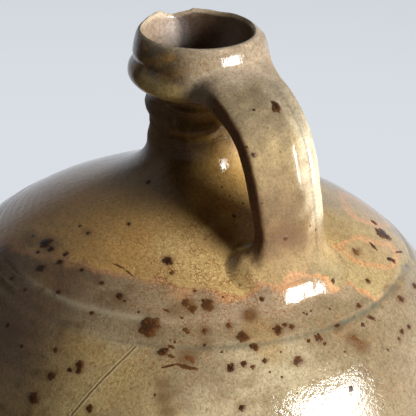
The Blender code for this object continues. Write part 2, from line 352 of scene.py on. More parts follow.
def turnedWall():
    # radius and height from the line, turned round the axis; then moved along the line's own normal by the
    # hand's unevenness, the throwing rings and the two joint rings, and the lip raised or lowered by angle
    runs = turnedRuns()
    line, plainer, spans, at = [], [], [], 0
    for run in runs:
        rows = run[1] if at == 0 else run[1][1:]
        line.append(rows)
        plainer.append((run[2] if len(run) > 2 else run[1])[0 if at == 0 else 1:])
        spans.append((run[0], max(at - 1, 0), at + len(rows)))
        at += len(rows)
    line, plainer = np.vstack(line), np.vstack(plainer)
    phi = np.arange(turned["columns"]) * 360 / turned["columns"]
    phi = np.where(phi > 180, phi - 360, phi)[None, :]

    # the groove of the collar fills up towards the handle
    filled = 1 - smoothStep(48, 92, np.abs((phi - 8 + 180) % 360 - 180))
    r = line[:, :1] * (1 - filled) + plainer[:, :1] * filled
    z = line[:, 1:] * (1 - filled) + plainer[:, 1:] * filled
    # the neck's rings run down askew on the near left
    start, end = spans[2][1:]
    askew = 5.5 * smoothStep(-112, -64, phi) * (1 - smoothStep(-50, 30, phi))
    height = line[start:end, 1:]
    askew = askew * smoothStep(-56, -50, height) * (1 - smoothStep(-34, -30, height))
    ringLine = np.array(neckLine)
    r[start:end] = np.interp(height + askew, ringLine[:, 1], ringLine[:, 0])
    nearLeft = smoothStep(-170, -120, phi) * (1 - smoothStep(-70, -40, phi))
    r[start:end] -= 1.1 * nearLeft * smoothStep(-55, -48, height) * (1 - smoothStep(-35, -30, height))
    slope = unit(np.gradient(line, axis=0))
    outR, outZ = slope[:, 1:], -slope[:, :1]
    along = lengthAlong(line)[:, None]
    outside = np.arange(len(line))[:, None] < spans[3][2]
    angle = np.radians(phi)
    place = np.stack([r * np.cos(angle), r * np.sin(angle), z + 0 * phi], -1)
    small = smoothStep(5, 80, r)  # the narrow neck keeps truer than the belly

    moved = turned["uneven"] * (0.25 + 0.75 * small) * waves(place, 150, 3) + 0.045 * waves(place, 34, 5)
    # throwing rings, strongest low on the left side and on the lower wall
    left = smoothStep(60, 95, -phi) * (1 - smoothStep(150, 175, -phi))
    isWall = smoothStep(92, 101, line[:, :1])
    size = turned["ripple"] + (0.05 + 0.17 * left * smoothStep(-200, -125, z)) * isWall
    size = size * (0.6 + 0.4 * waves(place, 60, 8))
    rings = np.sin(along / (4.6 + 2.4 * isWall) * 2 * math.pi + 1.1 * waves(place * (1, 1, 0.3), 120, 9))
    moved = moved + size * rings * smoothStep(40, 60, line[:, :1])
    # the joint ring below the shoulder, and the fainter ring above it
    belly, shoulderEnd = np.argmax(line[: spans[1][2], 0]), spans[1][2]
    seamAlong = np.interp(105.2, line[belly:shoulderEnd, 0][::-1], along[belly:shoulderEnd, 0][::-1])
    seamAt = seamAlong - roundInterp(phi, turned["seamDrop"]) + 0.35 * waves(place * (1, 1, 0), 50, 12)
    front = 0.45 + 0.55 * smoothStep(-66, -42, phi)
    banks = 0.36 * bell(along, seamAt - 2.6, 1.7) + 0.16 * bell(along, seamAt + 2.6, 1.6)
    moved = moved - front * (0.55 * bell(along, seamAt, 0.8) - banks)
    upperAt = seamAlong + 11.6 + 0.5 * waves(place * (1, 1, 0), 70, 14)
    onLeft = smoothStep(38, 52, -phi) * (1 - smoothStep(88, 110, -phi))
    moved = moved + 0.30 * bell(along, upperAt, 1.1) * onLeft
    moved = np.where(outside, moved, 0.3 * moved)
    onCollarRows = (line[:, 1:] > -27) & outside
    moved = moved + onCollarRows * 1.4 * bell(phi, 54, 26) * smoothStep(-0.4, -4.5, z) * smoothStep(-27, -22, z)
    moved = moved * (line[:, 1:] >= -384)  # the base stays flat
    r, z = r + outR * moved, z + outZ * moved
    z = z + roundInterp(phi, turned["lipRise"]) * smoothStep(-9, -1.5, z) * (r >= 24)
    grid = np.stack([r * np.cos(angle), r * np.sin(angle), z + 0 * phi], -1)
    places = dict(along=along, phi=phi, seamAt=seamAt, upperAt=upperAt)
    return dict(grid=grid, normals=gridNormals(grid), spans=spans, line=line, **places)


jug = turnedWall()
print("turned wall:", jug["grid"].shape)


def onCollar(z, phi):
    # point and normal of the outside of the collar at a height and an angle
    start, end = jug["spans"][3][1:]
    row = start + np.interp(z, jug["line"][start:end, 1], np.arange(end - start))
    column = (phi % 360) / 360 * turned["columns"]
    return gridAt(jug["grid"], row, column), gridAt(jug["normals"], row, column)


def onShoulder(x, y):
    # point and normal of the shoulder at a place in the plan
    start, end = jug["spans"][1][1:]
    row = start + np.interp(-np.hypot(x, y), -jug["line"][start:end, 0], np.arange(end - start))
    column = (np.degrees(np.arctan2(y, x)) % 360) / 360 * turned["columns"]
    return gridAt(jug["grid"], row, column), gridAt(jug["normals"], row, column)


# the handle
handle = dict(
    columns=176,
    # middle line of the strap, outwards and down
    path=(
        (20, -19.0), (32.0, -18.4), (43.5, -21.7), (52.4, -26.1), (59.9, -32.5), (65.9, -42.9), (70.5, -55.9),
        (71.6, -71.0), (68.8, -98.0),
    ),
    topWidth=45.5,
    width=38.2,
    topThickness=11.6,
    thickness=10.4,
    corner=(0.455, 0.645),  # powers of the rounded oblong: sharper at the near edge, rounder at the far edge
    leaves=0.205,  # shares of the path where the skirts leave and meet the strap
    lands=0.79,
    rootCut=0.245,  # shares where the three pieces meet
    footCut=0.72,
    strapStep=0.9,
    skirtRows=36,
    sunk=1.6,  # how deep the ends are let into the wall
    twist=-3.4,  # degrees that the broad face is turned to the near side
    shift=(-2.2, 2.0),  # how far the strap runs to the far side, above and at its foot
    # height of the broad face over a plain oblong: place across, near edge -1 to far edge 1, and height
    face=(
        (-1.0, -0.4), (-0.86, -0.1), (-0.7, 0.3), (-0.45, 1.1), (-0.2, 1.95), (0.0, 2.75), (0.08, 3.15),
        (0.13, 3.3), (0.165, 3.25), (0.21, 2.95), (0.28, 2.4), (0.35, 2.1), (0.41, 2.15), (0.47, 2.5),
        (0.53, 2.95), (0.57, 3.05), (0.61, 2.9), (0.68, 2.3), (0.8, 1.3), (0.9, 0.5), (1.0, -0.3),
    ),
    rootAngle=(-46.0, 57.0),  # how far round the collar the smear goes, near side and far side
    rootTop=-8.0,
    rootBottom=-27.0,
    # edge of the smear on the shoulder: angle round the strap, place outwards and across, height of its step
    foot=(
        (-180, 75, -32.5, 4.2), (-160, 67.5, -33.2, 4.6), (-142, 61.5, -29.5, 4.2), (-128, 58.3, -24, 2.6),
        (-110, 57, -12, 0.4), (-90, 57.3, 0, 0.2), (-70, 57.8, 12, 0.2), (-45, 61, 23, 0.4),
        (-20, 68, 28, 0.6), (0, 77, 31, 0.7), (30, 88, 26, 1.2), (60, 94.2, 11, 3.6), (90, 93.2, -2, 5.0),
        (120, 93.2, -17, 5.0), (150, 86.8, -28, 3.6),
    ),
    footMiddle=(74.0, -1.0),
)


def alongPath(share):
    # point and direction of the strap's middle line, outwards and down, at shares of its length
    line = evenly(throughPoints(handle["path"]), count=600)
    rows = np.linspace(0, 1, len(line))
    slope = unit(np.gradient(line, axis=0))
    return [np.stack([np.interp(share, rows, v[:, k]) for k in (0, 1)], -1) for v in (line, slope)]


def strapRing(share, angle):
    # cross-section of the strap: across = |cos|^power and outwards = |sin|^power of a rounded oblong, thicker
    # and wider at the top, its broad face raised and hollowed by the finger marks
    share = np.asarray(share, float)[:, None]
    middle, way = alongPath(share[:, 0])
    narrow = (1 - share) ** 1.5
    width = handle["width"] + (handle["topWidth"] - handle["width"]) * narrow
    thick = handle["thickness"] + (handle["topThickness"] - handle["thickness"]) * narrow
    near, far = handle["corner"]
    power = far + (near - far) * (0.5 - 0.5 * np.cos(angle))
    across, outward = rounded(np.cos(angle), power), rounded(np.sin(angle), power)
    face = throughPoints(handle["face"], 12)
    relief = np.interp(across, face[:, 0], face[:, 1]) * smoothStep(0.0, 0.75, outward)
    fade = smoothStep(0.16, 0.42, share)
    bead = 0.35 * bell(across, -0.97, 0.06) * smoothStep(0.1, 0.7, -outward)
    out = outward[None] * thick / 2 + relief[None] * fade - 0.6 * bead[None]
    side = across[None] * (width / 2) - bead[None]
    # turned about the path and moved across
    turn = np.radians(handle["twist"]) * smoothStep(0.1, 0.4, share)
    out, side = out * np.cos(turn) + side * np.sin(turn), side * np.cos(turn) - out * np.sin(turn)
    above, below = handle["shift"]
    side = side + above * smoothStep(0.1, 0.4, share) + (below - above) * smoothStep(0.6, 0.88, share)
    x = middle[:, :1] - way[:, 1:] * out
    z = middle[:, 1:] + way[:, :1] * out
    ring = np.stack([x, side, z], -1)
    wander = 0.14 * waves(ring, 26, 31) + 0.06 * waves(ring, 9, 32)
    ring[..., 0] += wander * -way[:, 1:] * np.sign(outward)
    ring[..., 2] += wander * way[:, :1] * np.sign(outward)
    return ring, np.stack([way[:, 0], 0 * way[:, 0], way[:, 1]], -1), across, outward


def towards(start, end, normal):
    # direction from start to end along the surface that has this normal, and the distance
    gap = end - start
    along = gap - (gap * normal).sum(-1, keepdims=True) * normal
    return unit(along), np.linalg.norm(gap, axis=-1, keepdims=True)


def rootPrint(angle, scale=1.0):
    # where the handle is smeared on the collar: a rounded patch in angle and height, lower on the near side
    across, outward = rounded(np.cos(angle), 0.62), rounded(np.sin(angle), 0.9)
    half = (handle["rootTop"] - handle["rootBottom"]) / 2
    middle = (handle["rootTop"] + handle["rootBottom"]) / 2
    near, far = handle["rootAngle"]
    phi = np.where(across < 0, -near * (1 - 0.1 * smoothStep(0.1, 0.9, -outward)), far) * across * scale
    drop = 4.0 * smoothStep(0.1, 1.0, -across) * (1 - np.abs(outward) ** 2)
    z = middle + half * outward * scale - drop * scale
    return onCollar(np.clip(z, -27.8, -3.2), phi)


def footPrint(angle, scale=1.0):
    # where the handle is smeared on the shoulder: the table's closed line in plan, and the height of its step
    turn = (np.degrees(angle) + 180) % 360 - 180
    x, y, step = (closedLine(turn, [(row[0], row[k]) for row in handle["foot"]]) for k in (1, 2, 3))
    middle = handle["footMiddle"]
    return *onShoulder(middle[0] + (x - middle[0]) * scale, middle[1] + (y - middle[1]) * scale), step


def footSkirt(ring, angle):
    # rows from the strap down to the smear's edge: in plan the way goes as t^1.6, so that it starts straight
    # down; the height over the shoulder falls as (1 - t)^3 to the smear's own step, which ends at the edge,
    # steepest in front
    end, endNormal, step = footPrint(angle)
    t = np.linspace(0, 1, handle["skirtRows"])[:, None, None]
    plan = ring[None, :, :2] + (end[None, :, :2] - ring[None, :, :2]) * t**1.6
    ground, _ = onShoulder(plan[..., 0], plan[..., 1])
    drop = ring[:, 2] - onShoulder(ring[:, 0], ring[:, 1])[0][:, 2]
    t = t[..., 0]
    step = np.minimum(step, 0.6 * drop)
    starts = 0.55 + 0.23 * bell((np.degrees(angle) + 180) % 360 - 180, 90, 55)
    height = (drop - step) * (1 - t) ** 3 + step * (1 - smoothStep(0, 1, (t - starts) / (1 - starts)))
    return np.concatenate([plan, (ground[..., 2] + height)[..., None]], -1), endNormal


def handleGrid():
    # rows from the sunk cap under the collar, along the root's skirt, the strap and the foot's skirt, to the
    # sunk cap under the shoulder
    fine = np.linspace(0, 2 * math.pi, 2001)
    oblong = np.stack([20 * rounded(np.cos(fine), 2 / 3), 5.2 * rounded(np.sin(fine), 2 / 3)], -1)
    length = lengthAlong(oblong)
    angle = np.interp(np.linspace(0, length[-1], handle["columns"], endpoint=False), length, fine)

    cuts = [handle[k] for k in ("leaves", "rootCut", "footCut", "lands")]
    shares = []
    for a, b in zip(cuts[:-1], cuts[1:]):
        count = max(4, int(round((b - a) * 114 / handle["strapStep"])) + 1)
        shares.append(np.linspace(a, b, count)[: None if b == cuts[-1] else -1])
    rings, ways, across, outward = strapRing(np.concatenate(shares), angle)

    start, startNormal = rootPrint(angle)
    way, gap = towards(start, rings[0], startNormal)
    t = np.linspace(0, 1, handle["skirtRows"])[:, None, None]
    rootSkirt = hermite(t, start, way * gap * 0.7, rings[0], ways[0] * gap * 1.1)[:-1]
    skirt, endNormal = footSkirt(rings[-1], angle)
    skirt = skirt[1:]

    def sunk(spread, scales):
        # smaller rings of a smear, let into the wall
        prints = [spread(angle, scale) for scale in scales]
        return np.stack([p[0] - handle["sunk"] * p[1] for p in prints])

    scales = (0.02, 0.45, 0.8)
    grid = np.concatenate([sunk(rootPrint, scales), rootSkirt, rings, skirt, sunk(footPrint, scales[::-1])])
    normals = gridNormals(grid)
    first, last = len(scales), len(grid) - len(scales) - 1
    normals[first], normals[last] = startNormal, endNormal
    normals[first + 1] = normals[first + 1] + 0.5 * startNormal
    normals[last - 1] = normals[last - 1] + 0.5 * endNormal
    normals = unit(normals)
    rootEnd = first + len(rootSkirt) + len(shares[0])
    footStart = rootEnd + len(shares[1])
    smear = np.zeros(len(grid))  # 1 on the strap, 0 at the edge of each smear
    smear[first: first + len(rootSkirt)] = np.linspace(0, 1, len(rootSkirt))
    smear[first + len(rootSkirt): last - len(skirt) + 1] = 1
    smear[last - len(skirt) + 1: last + 1] = np.linspace(1, 0, len(skirt))
    # only the ridges of the strap and the bank at the edge of the foot are glossy
    z = grid[..., 2] + 1.5 * waves(grid, 12, 33)
    crests = np.minimum(1, 1.5 * np.maximum(bell(across, 0.13, 0.06), bell(across, 0.60, 0.12)))
    ridge = crests * (outward > 0) * smoothStep(-33, -37, z) * (1 - smoothStep(-50, -55, z))
    bank = np.zeros(len(grid))
    bank[last - len(skirt) + 1: last + 1] = smoothStep(0.66, 0.76, np.linspace(0, 1, len(skirt)))
    satin = 1 - np.maximum(ridge, bank[:, None])
    return dict(
        grid=grid, normals=normals, smear=smear, satin=satin,
        cuts=(rootEnd, footStart), first=first, last=last,
    )


strap = handleGrid()
print("handle:", strap["grid"].shape)


# colour of the glaze, point by point
glaze = dict(
    straw=(0.74, 0.52, 0.22),
    honey=(0.74, 0.43, 0.13),  # to the left
    # painted shade: the tint on the right is kept darker, on the side the window lights most
    ochreShaded=(0.46, 0.335, 0.15),  # to the right
    amber=(0.52, 0.325, 0.105),  # round the neck
    brown=(0.17, 0.095, 0.038),
    olive=(0.78, 0.60, 0.24),
    # very pale olive, in part painted light on the lit band along the collar's lower edge
    mossLit=(0.897, 0.69, 0.276),  # along the lower edge of the collar
    pink=(0.40, 0.32, 0.225),
    mauve=(0.43, 0.32, 0.19),  # below the flash line
    taupe=(0.38, 0.295, 0.175),  # further out
    buff=(0.62, 0.515, 0.325),
    umber=(0.22, 0.130, 0.060),
    tan=(0.50, 0.31, 0.13),
    grey=(0.33, 0.25, 0.145),
    strapTint=(0.36, 0.26, 0.115),
    strapFar=(0.80, 0.70, 0.50),
    strapTop=(0.224, 0.1728, 0.10575),
    # painted shade on the strap's near side face, which is turned from the window
    strapShadedSide=(0.19, 0.08, 0.024),
    sand=(0.53, 0.41, 0.20),  # to the right of the handle's foot
    blush=(0.56, 0.42, 0.275),  # in front of it
    oak=(0.55, 0.40, 0.17),  # on the near left of the wall
    # the lip's worn clay, paler in part as painted light; inside the mouth, painted light on the lit left wall
    # and painted shade deeper in
    lip=(0.78, 0.64, 0.46),
    bare=(0.40, 0.30, 0.20),
    mouthPaintedLight=(0.46, 0.34, 0.245),
    mouthPaintedShade=(0.10, 0.058, 0.033),
    # distance of the flash line from the axis, by angle
    flashLine=(
        (-180, 84), (-150, 92), (-122, 94), (-96, 84), (-72, 76.5), (-56, 75.8), (-40, 80.7), (-25.5, 85.3),
        (-14.7, 81.5), (2.4, 79.6), (8.9, 88.3), (13.5, 91.1), (15.8, 96.2), (19.9, 100.5), (27, 104.5),
        (39, 106), (53, 110), (70, 100), (84, 88), (110, 90), (140, 80),
    ),
)


def paint(points, normals):
    # two tints for each point, above and below the flash line, and its distance below that line
    tint = {k: np.array(v) for k, v in glaze.items() if k != "flashLine"}
    x, y, z = points[..., 0], points[..., 1], points[..., 2]
    r, phi = np.hypot(x, y), np.degrees(np.arctan2(y, x))
    cloud, patch, fine = waves(points, 60, 41), waves(points, 26, 42), waves(points, 9, 43)

    def turn(low, high, soft):
        return between(phi, low, high, soft)

    neck, collar = smoothStep(-58, -50, z), smoothStep(-30, -27, z)
    upper = np.broadcast_to(tint["straw"], points.shape)
    for name, mask in (
        ("honey", turn(-160, -54, 12) + 0.15 * patch),
        # painted shade: the darker ochre on the right
        ("ochreShaded", turn(26, 130, 9) + 0.15 * patch),
        ("sand", turn(-2, 34, 7) * smoothStep(76, 88, r)),
        ("pink", turn(42, 62, 14) * between(r, 50, 70, 12) * (0.7 + 0.3 * patch)),
        ("amber", (1 - smoothStep(38, 58, r)) * (0.9 + 0.1 * patch)),
        # painted shade: dark brown round the foot of the neck on its left, the side the window doesn't light
        ("brown", (1 - smoothStep(26, 50, r)) * turn(-160, -42, 12) * 0.88),
        ("brown", neck * smoothStep(-0.4, 1.2, patch + 0.6 * fine) * 0.6),
        # the collar: brown to the left, mottled in front, with painted shade in the groove on the front left,
        # olive along its lower edge made extra pale as painted light, pinkish by the handle
        ("grey", collar * 0.8),
        ("brown", collar * turn(-165, -88, 14) * 0.5),
        ("honey", collar * turn(-115, -45, 10) * smoothStep(-0.6, 0.9, patch + 0.8 * fine) * 0.8),
        # painted shade in the collar's groove on the front left
        ("brown", collar * turn(-110, -42, 12) * bell(z + patch, -12, 4.5) * 0.45),
        # painted light: the olive band made extra pale where the window lights it
        ("mossLit", collar * turn(-92, -38, 8) * smoothStep(-14, -20, z + 1.5 * patch) * 0.9),
        ("pink", collar * (turn(-48, 85, 16) + smoothStep(-5, -1, z)) * (0.85 + 0.15 * patch)),
    ):
        upper = over(upper, tint[name], mask)
    lower = np.broadcast_to(tint["mauve"], points.shape)
    for name, mask in (
        ("taupe", smoothStep(90, 101, r + 2 * patch)),
        ("buff", smoothStep(101, 110, r) * turn(-74, -3, 11) * (0.85 + 0.3 * cloud + 0.15 * fine)),
        ("olive", smoothStep(108, 120, r) * turn(-66, -40, 9) * smoothStep(-0.5, 1.2, patch) * 0.5),
        ("oak", smoothStep(103, 112, r) * turn(-88, -44, 7) * 0.8),
        ("blush", turn(-35, 20, 7) * (1 - smoothStep(91, 102, r + 2 * patch)) * 0.7),
        ("umber", turn(-150, -70, 11) * (1 - smoothStep(121, 131, r))),
        ("tan", turn(-150, -72, 8) * smoothStep(121, 131, r) * (0.8 + 0.3 * patch)),
        ("brown", turn(-160, -58, 12) * smoothStep(0.3, 1.4, patch + 0.5 * fine) * 0.6),
        ("amber", smoothStep(0.8, 2.0, cloud + 0.5 * patch) * 0.4),
        ("grey", smoothStep(0.5, 1.8, -cloud + 0.4 * patch) * 0.5),
        ("brown", (1 - smoothStep(-300, -190, z)) * (0.25 + 0.2 * cloud)),
    ):
        lower = over(lower, tint[name], mask)
    # painted shade: the lower tint is darkened by up to 17 percent on the right, the side the window lights
    # most
    lower = lower * (1 - 0.17 * turn(-28, 60, 14))[..., None]
    flash = r - roundInterp(phi, glaze["flashLine"]) - 1.6 * waves(points, 22, 44) - 0.7 * fine
    flash = np.where(z > -70, -60.0, np.where(z < -172, 60.0, flash))
    return upper, lower, flash


def over(base, colour, mask):
    # a colour laid over others: base + (colour - base) * mask
    return base + (np.asarray(colour) - base) * np.clip(mask, 0, 1)[..., None]


# what lies on the glaze, by its pixel in the picture
marks = dict(
    # iron spots: pixel, radius in pixels, and how dark
    spots=(
        (150, 327, 9.0, 0.8), (168, 261, 4.2, 1.0), (208, 305, 5.6, 0.7), (186, 303, 3.6, 0.6),
        (193, 309, 3.6, 0.6), (243, 337, 5.0, 0.8), (255, 347, 3.4, 0.8), (278, 330, 4.2, 0.9),
        (285, 325, 2.4, 0.8), (292, 327, 2.6, 0.8), (338, 327, 4.0, 0.9), (319, 338, 3.4, 0.8),
        (309, 341, 2.0, 0.7), (325, 344, 2.0, 0.7), (298, 361, 4.3, 0.8), (231, 368, 3.8, 1.0),
        (244, 364, 3.0, 0.9), (253, 367, 2.2, 0.6), (265, 361, 2.4, 0.8), (262, 299, 2.6, 0.8),
        (359, 306, 2.6, 0.8), (304, 313, 1.2, 0.8), (307, 314, 1.2, 0.8), (311, 311, 1.1, 0.8),
        (351, 389, 2.6, 1.0), (402, 332, 2.6, 0.9), (409, 327, 2.2, 0.9), (399, 339, 1.8, 0.8),
        (356, 252, 3.0, 0.3), (401, 299, 3.2, 0.9), (42, 268, 3.4, 1.0), (60, 262, 2.8, 1.0),
        (82, 270, 2.0, 1.0), (102, 283, 2.2, 0.8), (120, 298, 2.0, 0.8), (125, 301, 1.4, 0.8),
        (205, 331, 2.6, 0.6), (188, 332, 2.2, 0.5), (229, 326, 2.6, 0.6), (59, 292, 2.6, 0.9),
        (92, 313, 2.2, 0.8), (167, 350, 2.0, 0.8), (205, 345, 1.8, 0.8), (210, 349, 1.4, 0.8),
        (79, 371, 2.8, 0.9), (70, 370, 2.4, 0.9), (50, 376, 2.0, 0.8), (34, 400, 3.4, 0.9),
        (90, 410, 2.4, 0.9), (242, 408, 3.0, 1.0), (46, 243, 5.0, 1.0), (51, 249, 3.0, 1.0),
        (40, 268, 3.6, 0.9), (66, 254, 2.4, 0.9), (120, 296, 3.2, 0.9), (172, 273, 2.2, 0.6),
        (80, 365, 3.8, 0.8), (56, 350, 2.6, 0.6), (34, 398, 4.6, 0.8), (90, 408, 3.2, 0.8),
        (163, 352, 3.6, 0.9), (186, 330, 2.4, 0.5), (52, 376, 3.6, 0.7), (38, 252, 1.8, 1.0),
        (33, 236, 1.6, 1.0), (80, 226, 1.5, 0.9), (129, 224, 1.6, 1.0), (88, 233, 1.8, 0.9),
        (148, 182, 2.2, 1.0), (333, 281, 2.4, 0.8), (368, 281, 2.4, 0.8), (415, 286, 2.6, 0.9),
        (214, 110, 1.2, 1.0), (254, 110, 1.4, 1.0), (254, 155, 2.3, 0.9), (247, 147, 1.2, 0.9),
        (286, 238, 2.6, 0.7), (310, 226, 1.0, 0.6), (316, 230, 1.3, 0.6), (234, 216, 1.6, 1.0),
        (243, 203, 1.2, 0.9), (222, 187, 1.1, 0.8), (230, 196, 1.0, 0.8), (12, 278, 2.2, 1.0),
        (25, 290, 1.8, 0.9), (8, 325, 2.2, 0.9), (22, 346, 1.8, 0.9), (155, 395, 1.4, 0.7),
        (282, 377, 1.3, 0.8), (270, 372, 1.2, 0.8), (222, 352, 1.2, 0.7), (345, 352, 1.4, 0.7),
        (388, 350, 1.5, 0.8), (330, 309, 1.3, 0.7), (281, 352, 1.3, 0.7), (182, 318, 1.4, 0.7),
        (175, 342, 1.4, 0.7), (139, 312, 1.3, 0.7), (240, 285, 1.1, 0.6), (195, 291, 1.6, 0.6),
        (223, 297, 1.2, 0.6),
    ),
    # strokes: from pixel to pixel, half width in pixels, how dark
    strokes=(
        (274, 102, 278, 111, 3.6, 1.0), (377, 229, 389, 239, 3.0, 1.0), (369, 242, 377, 250, 1.3, 0.8),
        (371, 220, 377, 225, 1.0, 0.6), (384, 257, 396, 262, 1.7, 0.9), (367, 316, 376, 320, 1.6, 0.9),
        (362, 323, 364, 327, 1.8, 0.9), (160, 368, 178, 364, 1.3, 0.7), (176, 364, 197, 370, 2.2, 0.7),
        (112, 263, 126, 269, 1.1, 0.2), (125, 269, 134, 277, 1.0, 0.2), (186, 356, 195, 362, 2.4, 0.4),
        (167, 344, 176, 350, 2.0, 0.6), (163, 309, 170, 312, 1.3, 0.5), (396, 252, 403, 252, 1.1, 0.7),
        (168, 355, 176, 359, 2.0, 0.6), (352, 336, 362, 345, 2.2, 0.5),
    ),
    halo=(0.5, 1.7),  # brown ring round each larger spot: strength, and size as a share of the spot's radius
    # soft brown stains: pixel, radius in pixels, strength. The last five are painted shade: the first two of
    # them low on the handle's foot, the last three the handle's shadow on the shoulder beside its foot
    stainsAndShade=(
        (250, 315, 9, 0.75), (150, 327, 13, 0.5), (208, 305, 9, 0.5), (189, 305, 9, 0.45),
        (243, 337, 8, 0.4), (187, 358, 12, 0.45), (352, 338, 8, 0.5), (362, 346, 9, 0.5),
        (278, 329, 8, 0.35), (165, 390, 10, 0.3), (175, 310, 9, 0.35), (120, 298, 8, 0.4),
        (48, 245, 12, 0.5), (205, 345, 8, 0.35), (229, 326, 6, 0.4), (205, 331, 7, 0.4), (395, 285, 9, 0.3),
        (357, 252, 6, 0.4), (300, 361, 7, 0.4), (320, 340, 8, 0.3), (163, 384, 9, 0.4),
        (164, 398, 11, 0.46), (168, 412, 12, 0.46), (176, 392, 9, 0.28), (184, 406, 11, 0.28),
        (130, 288, 6, 0.3), (97, 278, 6, 0.35), (60, 300, 7, 0.3), (10, 330, 14, 0.5), (365, 372, 8, 0.25),
        (88, 233, 6, 0.3), (30, 240, 10, 0.4), (286, 237, 16, 0.4), (276, 250, 9, 0.25),
        (224, 235, 17, 0.5), (208, 216, 14, 0.36), (240, 246, 9, 0.4),
    ),
    # pale lens on the right of the shoulder, and the pinkish area above it: corners of their outlines
    lens=(
        (332, 247), (340, 246), (349, 239), (360, 237), (369, 240.5), (380, 243), (390, 244), (397, 254),
        (395, 264), (390, 268), (379, 266), (366, 264.5), (353, 259.5), (343, 251),
    ),
    pinkArea=(
        (338, 190), (345, 205), (350.6, 214), (358, 219), (370, 223), (383, 227), (394, 228), (388, 216),
        (372, 204), (352, 194),
    ),
    strapArea=(247, 325, 262),  # where the strap hides the wall in the picture: left, right and bottom
    hidden=90,  # spots on the sides that the picture doesn't show
)


def outlineDistance(pixels, corners):
    # distance of each pixel from a closed outline of straight stretches, negative inside (crossings counted)
    corners = np.asarray(corners, float)
    a, b = corners, np.roll(corners, -1, 0)
    p = pixels[:, None]
    t = np.clip(((p - a) * (b - a)).sum(-1) / ((b - a) ** 2).sum(-1), 0, 1)
    far = np.linalg.norm(p - a - t[..., None] * (b - a), axis=-1).min(1)
    high = np.where(b[:, 1] == a[:, 1], 1e-9, b[:, 1] - a[:, 1])
    left = p[..., 0] < a[:, 0] + (b[:, 0] - a[:, 0]) * (p[..., 1] - a[:, 1]) / high
    crosses = ((a[:, 1] > p[..., 1]) != (b[:, 1] > p[..., 1])) & left
    return np.where(crosses.sum(1) % 2 == 1, -far, far)


def markLayers(points, normals, onStrap=False):
    # the stain layer is the largest of the soft round stains, the halos round the spots and the patches of
    # painted shade; lens = distance from the two outlines, in millimetres
    pixels = inPicture(points)
    facing = (normals @ viewAxes()[2] > 0.02) & (points[:, 2] > -230)
    stain = np.zeros(len(points))
    strong, wide = marks["halo"]
    larger = [s for s in marks["spots"] if s[2] > 1.5]
    halos = tuple((x, y, radius * wide, strong * dark) for x, y, radius, dark in larger)
    left, right, bottom = marks["strapArea"]
    for x, y, radius, strength in marks["stainsAndShade"] + halos:
        if onStrap != (left < x < right and y < bottom):
            continue
        far = np.hypot(pixels[:, 0] - x, (pixels[:, 1] - y) * 1.15) / radius
        stain = np.maximum(stain, min(1.0, strength * 1.5) * np.exp(-(far**3)) * facing)
    lens = np.full(len(points), 30.0)
    near = facing & (pixels[:, 0] > 315) & (pixels[:, 0] < 430) & (pixels[:, 1] > 180) & (pixels[:, 1] < 290)
    if near.any():
        apart = [outlineDistance(pixels[near], marks[k]) / view["scale"] for k in ("lens", "pinkArea")]
        lens[near] = np.minimum(*apart) + 12 * np.clip(0.3 - normals[near] @ viewAxes()[2], 0, 1)
    # the orange of the flash line fades towards the far right
    turn = np.degrees(np.arctan2(points[:, 1], points[:, 0]))
    warm = 1 - smoothStep(17, 24, turn) * (1 - smoothStep(75, 95, turn))
    return dict(stain=stain, lens=lens, warm=warm)


